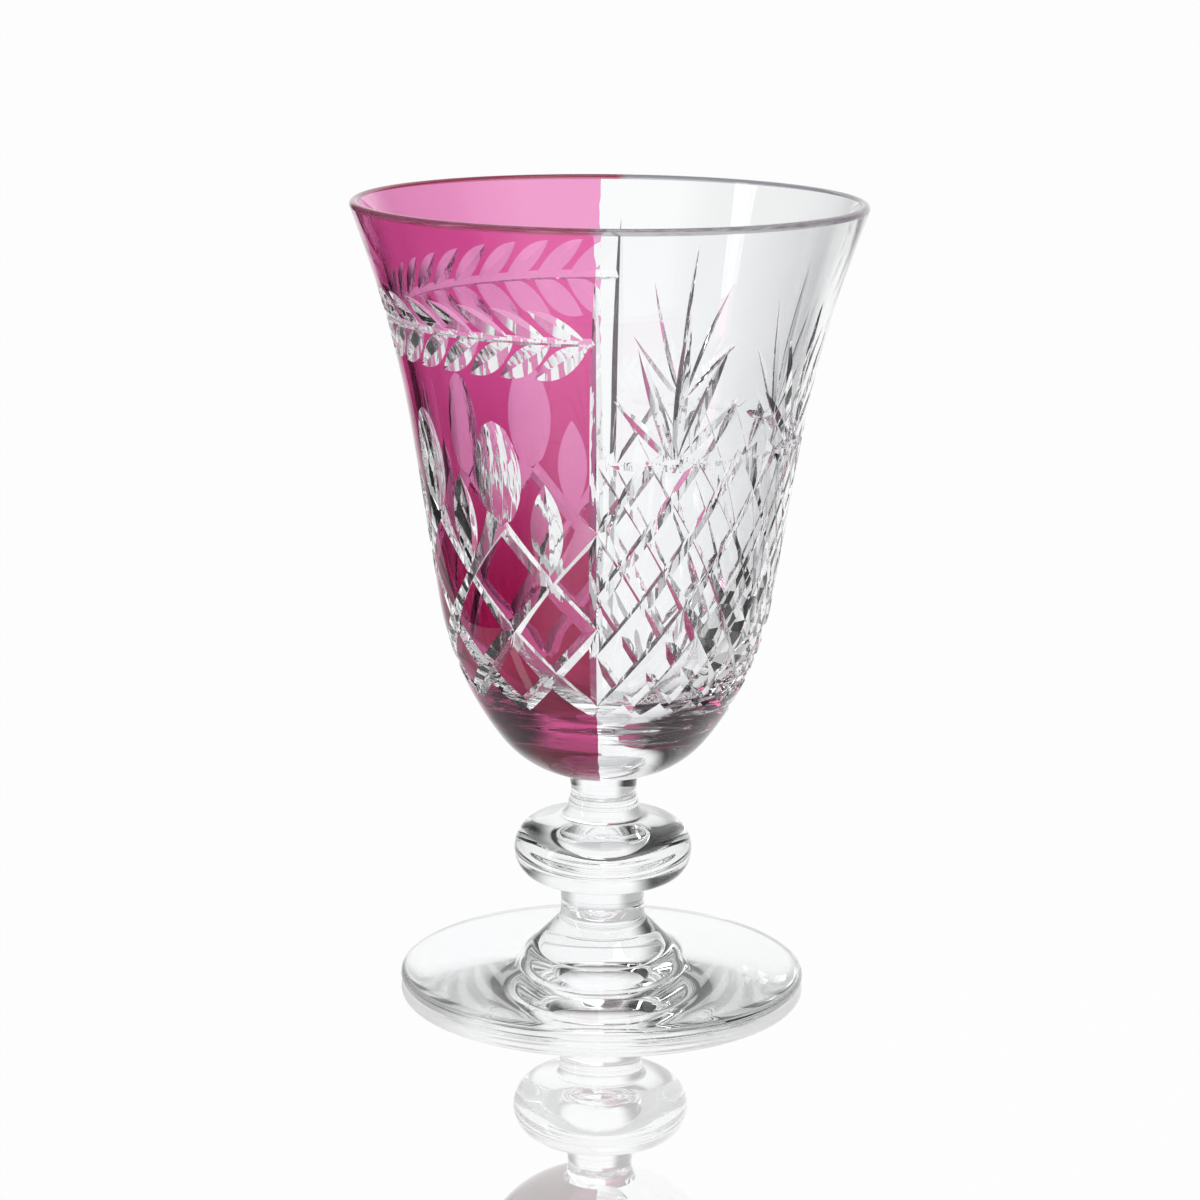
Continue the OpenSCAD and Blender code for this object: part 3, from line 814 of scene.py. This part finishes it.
class GLASS_OT_bowl(bpy.types.Operator):
    """Makes the bowl with its hollow, its rounded rim and all its cuts"""

    bl_idname = "glass.bowl"
    bl_label = "Bowl"

    def execute(self, context):
        o, w = wheels_for(context.scene, True)

        def ring(t):
            """The whole outline, with its outer side moved inwards by t where the ruby lies."""
            base = [(0, o.base_z), (o.base_r, o.base_z)]
            return base + o.outer(t) + [o.outer_lip(o.top_a)] + o.rim() + o.hollow()

        outer_n, rim_n = len(o.outer(0)), len(o.rim())

        def kinds(t):
            """The face kinds along that outline."""
            skin = FUSED if t else OUTER
            marks = [FUSED, FUSED] + [skin] * (outer_n - 1) + [FUSED] + [RIM] * (rim_n + 1)
            return marks + [HOLLOW] * (len(ring(0)) - len(marks))

        half = AROUND // 2
        seams = (o.clear_a, 0, 360)
        columns = []
        for t, first, last in ((0, 0, o.clear_a), (o.casing_t, o.clear_a, 360)):
            outline = ring(t)
            for az in np.linspace(first, last, half + 1):
                columns.append(turned(outline, az, o.ragged if az in seams else 0))
        obj = sweep("bowl_glass", columns, kinds(0))
        values = []
        for i in range(len(columns)):
            # the steps in and out of the ruby layer's bed
            step = i in (half, 2 * half + 1)
            values += [FUSED if step and k < outer_n + 2 else v
                       for k, v in enumerate(kinds(0) if i <= half else kinds(o.casing_t))]
        obj.data.attributes["kind"].data.foreach_set("value", values)
        tidy_mesh(obj)
        cut_away(obj, w.bodies)
        faces = shade(obj, o, w)

        place(obj, "bowl", "clear_glass_bowl", faces,
              lambda kind: glass_of(kind, w, "rim_glass" if kind == RIM else "polished_glass"))
        return {"FINISHED"}


class GLASS_OT_casing(bpy.types.Operator):
    """Makes the ruby casing, cut through by the same wheels"""

    bl_idname = "glass.casing"
    bl_label = "Ruby casing"

    def execute(self, context):
        o, w = wheels_for(context.scene, False)
        outer, inner = o.outer(0), o.outer(o.casing_t)
        outline = outer + inner[::-1]
        kinds = [OUTER] * (len(outer) - 1) + [FUSED] * (len(inner) + 1)
        half = AROUND // 2
        columns = [turned(outline, az, o.ragged if az in (o.clear_a, 360) else 0)
                   for az in np.linspace(o.clear_a, 360, half + 1)]
        obj = sweep("ruby_casing_glass", columns, kinds, False)
        n = len(columns)
        values = kinds * (n - 1) + [FUSED, FUSED]
        obj.data.attributes["kind"].data.foreach_set("value", values)
        tidy_mesh(obj, turn_out=False)
        cut_away(obj, w.bodies)
        faces = shade(obj, o, w)

        place(obj, "ruby_casing", "ruby_glass", faces, lambda kind: glass_of(kind, w, "ruby_layer"))
        return {"FINISHED"}


def smooth_turned(obj):
    """Smooth shading with sharp edges where the outline has a corner, and metres for millimetres."""
    mesh = obj.data
    mesh.transform(Matrix.Scale(MM, 4))
    mesh.polygons.foreach_set("use_smooth", [True] * len(mesh.polygons))
    bm = bmesh.new()
    bm.from_mesh(mesh)
    for edge in bm.edges:
        if len(edge.link_faces) == 2 and edge.calc_face_angle(0) > math.radians(25):
            edge.smooth = False
    bm.to_mesh(mesh)
    bm.free()
    return read(mesh.attributes["kind"].data, "value", kind=np.int32)


def stem_piece(node, slot, rows):
    """A turned piece of the stem. rows are its outline's points and face kinds, from the top down."""
    obj = lathe(node + "_glass", [p for p, _ in rows], [k for _, k in rows])
    faces = smooth_turned(obj)
    place(obj, node, slot, faces, lambda kind: "fused_joint" if kind == FUSED else "polished_glass")


def arc(centre, r, a0, a1, steps):
    """Points of a polished arc."""
    return [((centre[0] + r * cos(a), centre[1] + r * sin(a)), OUTER) for a in np.linspace(a0, a1, steps)]


class GLASS_OT_shank(bpy.types.Operator):
    """Makes the short waisted shank under the bowl"""

    bl_idname = "glass.shank"
    bl_label = "Shank"

    def execute(self, context):
        o = Outline(context.scene)
        heights = np.linspace(o.base_z, o.shank_z, 13)
        rows = [((0, o.base_z), FUSED)] + [((o.neck_r(z), z), OUTER) for z in heights]
        rows[-1] = (rows[-1][0], FUSED)
        rows.append(((0, o.shank_z), FUSED))
        stem_piece("shank", "clear_glass_shank", rows)
        return {"FINISHED"}


class GLASS_OT_knop(bpy.types.Operator):
    """Makes the flattened knop with its two necks"""

    bl_idname = "glass.knop"
    bl_label = "Knop"

    def execute(self, context):
        o = Outline(context.scene)
        stem = context.scene.stem_sizes
        middle = o.knop_z + 0.51 * stem.knop_h / MM
        # rounding of the widest part, and how far each crown rises above it
        edge_r, crown = 6.0, 1.3
        upper_neck, upper_curve, lower_curve = 6.65, 2.9, 1.2
        edge_x = o.knop_r - edge_r
        drop = (edge_x**2 - crown**2) / (2 * crown)
        crown_r = drop + edge_r + crown

        def half(neck, curve, end):
            """Outline of one half, from the neck's end to the crown's edge, heights from the middle."""
            cx = neck + curve
            cz = math.sqrt((crown_r + curve) ** 2 - cx**2) - drop
            touch_a = math.degrees(math.atan2(cz + drop, cx))
            points = [((neck, end), OUTER), ((neck, (end + cz) / 2), OUTER)]
            points += arc((cx, cz), curve, 180, 180 + touch_a, 12)
            edge_a = math.degrees(math.atan2(drop, edge_x))
            points += arc((0, -drop), crown_r, touch_a, edge_a, 14)[1:]
            return points, edge_a

        top, edge_a = half(upper_neck, upper_curve, o.shank_z - middle)
        low, _ = half(o.collar_r, lower_curve, middle - o.knop_z)
        rim = arc((edge_x, 0), edge_r, edge_a, -edge_a, 33)[1:-1]
        rows = top + rim + [((p[0], -p[1]), k) for p, k in reversed(low)]
        rows = [((p[0], p[1] + middle), k) for p, k in rows]
        rows[-1] = (rows[-1][0], FUSED)
        rows = [((0, o.shank_z), FUSED)] + rows + [((0, o.knop_z), FUSED)]
        stem_piece("knop", "clear_glass_knop", rows)
        return {"FINISHED"}


class GLASS_OT_collar(bpy.types.Operator):
    """Makes the collar between the foot and the knop"""

    bl_idname = "glass.collar"
    bl_label = "Foot collar"

    def execute(self, context):
        o = Outline(context.scene)
        r = o.collar_r
        rows = [((0, o.knop_z), FUSED), ((r, o.knop_z), OUTER), ((r, (o.knop_z + o.foot_z) / 2), OUTER),
                ((r, o.foot_z), FUSED), ((0, o.foot_z), FUSED)]
        stem_piece("foot_collar", "clear_glass_collar", rows)
        return {"FINISHED"}


class GLASS_OT_foot(bpy.types.Operator):
    """Makes the foot with its cone, its rounded edge, its hollow underside and the pontil hollow"""

    bl_idname = "glass.foot"
    bl_label = "Foot"

    def execute(self, context):
        o = Outline(context.scene)
        edge_r = 1.15
        # leans of the disc's top and of the cone from level
        slope, cone = 9.5, 46
        # radii of the curves from the disc to the cone and from the cone up to the collar
        foot_curve, cone_curve = 6.0, 3.2
        edge_c = (o.foot_r - edge_r, edge_r)
        face_n, cone_n = (sin(slope), cos(slope)), (sin(cone), cos(cone))
        start = (edge_c[0] + edge_r * face_n[0], edge_c[1] + edge_r * face_n[1])
        cone_c = (o.collar_r + cone_curve, o.foot_z)
        end = (cone_c[0] - cone_curve * cone_n[0], cone_c[1] - cone_curve * cone_n[1])
        face_d = face_n[0] * start[0] + face_n[1] * start[1] + foot_curve
        cone_d = cone_n[0] * end[0] + cone_n[1] * end[1] + foot_curve
        det = cone_n[0] * face_n[1] - face_n[0] * cone_n[1]
        curve_c = ((cone_d * face_n[1] - face_d * cone_n[1]) / det,
                   (cone_n[0] * face_d - face_n[0] * cone_d) / det)
        rows = [((0, o.foot_z), FUSED)]
        rows += arc(cone_c, cone_curve, 180, 270 - cone, 10)
        rows += arc(curve_c, foot_curve, 270 - cone, 270 - slope, 14)
        near = rows[-1][0]
        steps = 14
        for k in range(1, steps):
            s = k / steps
            rows.append(((near[0] + (start[0] - near[0]) * s, near[1] + (start[1] - near[1]) * s), OUTER))
        rows += arc(edge_c, edge_r, 90 - slope, -90, 22)

        def dish(half_w, rise, low, x0, x1, steps):
            """A shallow hollow of a half width and a rise, drawn from x0 to x1."""
            r = (half_w**2 + rise**2) / (2 * rise)
            return [((x, low + rise - r + math.sqrt(r * r - x * x)), OUTER)
                    for x in np.linspace(x0, x1, steps)]

        # the ring that the foot stands on, the wide hollow inside it and the pontil hollow in the middle
        ring_w, wide_rise, pontil_r, pontil_rise = 2.4, 1.1, 9.5, 0.9
        wide_end, pontil_start = 9.4, 9.1
        wide_r = edge_c[0] - ring_w
        rows += [((wide_r + ring_w / 2, 0), OUTER)]
        rows += dish(wide_r, wide_rise, 0, wide_r, wide_end, 20)
        rows += dish(pontil_r, pontil_rise, wide_rise, pontil_start, 0, 14)
        stem_piece("foot", "clear_glass_foot", rows)
        return {"FINISHED"}


class GLASS_OT_stage(bpy.types.Operator):
    """Sets up the pale glossy floor, the soft light and the camera"""

    bl_idname = "glass.stage"
    bl_label = "Stage"

    def execute(self, context):
        scene = context.scene
        scene.view_settings.view_transform = "Standard"
        for limit in ("max_bounces", "glossy_bounces", "transmission_bounces", "transparent_max_bounces"):
            setattr(scene.cycles, limit, 40)
        self.floor()
        self.light()
        self.camera(scene)
        return {"FINISHED"}

    def floor(self):
        """A pale floor that widens with the camera's view and keeps the glass's reflection."""
        bm = bmesh.new()
        near, far, side, far_side = -0.16, 6.0, 0.13, 1.7
        corners = ((-side, near), (side, near), (far_side, far), (-far_side, far))
        bm.faces.new([bm.verts.new((x, y, 0)) for x, y in corners])
        mesh = bpy.data.meshes.new("floor")
        bm.to_mesh(mesh)
        bm.free()
        obj = bpy.data.objects.new("floor", mesh)
        obj.location.z = -0.0002
        bpy.context.scene.collection.objects.link(obj)
        p = Paint("pale_floor")
        pale = p.node("ShaderNodeBsdfDiffuse", {}, {"Color": (0.9, 0.9, 0.9, 1)})
        white = p.node("ShaderNodeEmission", {}, {"Color": (1, 1, 1, 1), "Strength": 1.0})
        base = p.node("ShaderNodeMixShader", {}, {0: 0.94, 1: pale, 2: white})
        gloss = p.node("ShaderNodeBsdfGlossy", {}, {"Color": (1, 1, 1, 1), "Roughness": 0.0})
        both = p.node("ShaderNodeMixShader", {}, {0: 0.5, 1: base, 2: gloss})
        mesh.materials.append(p.finish(both))

    def light(self):
        """A studio for clear glass: bright in front and behind, dark to the sides and overhead."""
        world = bpy.data.worlds.new("studio")
        bpy.context.scene.world = world
        p = Paint(world=world)
        path = p.node("ShaderNodeLightPath")
        seen = Value(p, path.socket.node.outputs["Is Camera Ray"])
        across = p.node("ShaderNodeSeparateXYZ", {}, {0: p.node("ShaderNodeTexCoord", output=0)})
        behind, above = (Value(p, across.socket.node.outputs[axis]) for axis in "YZ")
        # the left side darkens sooner than the right one, and both sooner behind the glass
        side = p.node("ShaderNodeMath", {"operation": "MAXIMUM"}, {0: across * 0.85, 1: across * -1.25})
        narrow = p.node("ShaderNodeMapRange", {}, {0: behind, 1: -0.2, 2: 0.4, 3: 1.0, 4: 1.5})
        bright = p.fade(side * narrow, 0.5, 0.95, 1.0, 0.02) * p.fade(above, 0.6, 0.95, 1.0, 0.1)
        strength = p.node("ShaderNodeMath", {"operation": "MAXIMUM"}, {0: bright, 1: seen})
        p.finish(p.node("ShaderNodeBackground", {}, {"Color": (1, 1, 1, 1), "Strength": strength}), True)
        lamps = (("left", (-0.9, -0.3, 0.5), 0.12, 0.7), ("top", (0.25, -0.1, 1.2), 0.5, 2.0))
        for name, spot, wide, power in lamps:
            lamp = bpy.data.lights.new(name, "AREA")
            lamp.shape, lamp.size, lamp.size_y, lamp.energy = "RECTANGLE", wide, 0.7, power
            obj = bpy.data.objects.new(name, lamp)
            obj.location = spot
            obj.rotation_euler = (Vector((0, 0, 0.08)) - Vector(spot)).to_track_quat("-Z", "Y").to_euler()
            bpy.context.scene.collection.objects.link(obj)

    def camera(self, scene):
        """The photograph's viewing angle, with its lens, distance, tilt and slight roll."""
        data = bpy.data.cameras.new("camera")
        data.sensor_width, data.lens = 36, 100.75
        obj = bpy.data.objects.new("camera", data)
        far, high = 0.6174, 0.2154
        az, tilt, roll = 3, 12.862, 0.6
        obj.location = (far * sin(az), -far * cos(az), high)
        turn = Matrix.Rotation(math.radians(az), 3, "Z") @ Matrix.Rotation(math.radians(90 - tilt), 3, "X")
        obj.rotation_mode = "XYZ"
        obj.rotation_euler = (turn @ Matrix.Rotation(math.radians(roll), 3, "Z")).to_euler()
        data.shift_x = -0.0046
        scene.collection.objects.link(obj)
        scene.camera = obj


class GLASS_PT_panel(bpy.types.Panel):
    """Lists the glass's sizes, colours and pieces"""

    bl_idname = "GLASS_PT_panel"
    bl_label = "Cut glass"
    bl_space_type = "VIEW_3D"
    bl_region_type = "UI"
    bl_category = "Cut glass"

    def draw(self, context):
        for group in ("stem_sizes", "bowl_sizes", "cut_sizes", "glass_colours"):
            values = getattr(context.scene, group)
            box = self.layout.box()
            for key in type(values).__annotations__:
                box.prop(values, key)
        for operator in OPERATORS:
            self.layout.operator(operator.bl_idname)


GROUPS = {"stem_sizes": StemSizes, "bowl_sizes": BowlSizes, "cut_sizes": CutSizes,
          "glass_colours": GlassColours}
OPERATORS = (GLASS_OT_foot, GLASS_OT_collar, GLASS_OT_knop, GLASS_OT_shank, GLASS_OT_bowl,
             GLASS_OT_casing, GLASS_OT_stage)


def register():
    for cls in (*GROUPS.values(), *OPERATORS, GLASS_PT_panel):
        bpy.utils.register_class(cls)
    for name, cls in GROUPS.items():
        setattr(bpy.types.Scene, name, bpy.props.PointerProperty(type=cls))


def unregister():
    for name in GROUPS:
        delattr(bpy.types.Scene, name)
    for cls in (GLASS_PT_panel, *reversed(OPERATORS), *reversed(list(GROUPS.values()))):
        bpy.utils.unregister_class(cls)


def main():
    register()
    bpy.ops.glass.foot()
    bpy.ops.glass.collar()
    bpy.ops.glass.knop()
    bpy.ops.glass.shank()
    bpy.ops.glass.bowl()
    bpy.ops.glass.casing()
    bpy.ops.glass.stage()


if __name__ == "__main__":
    main()
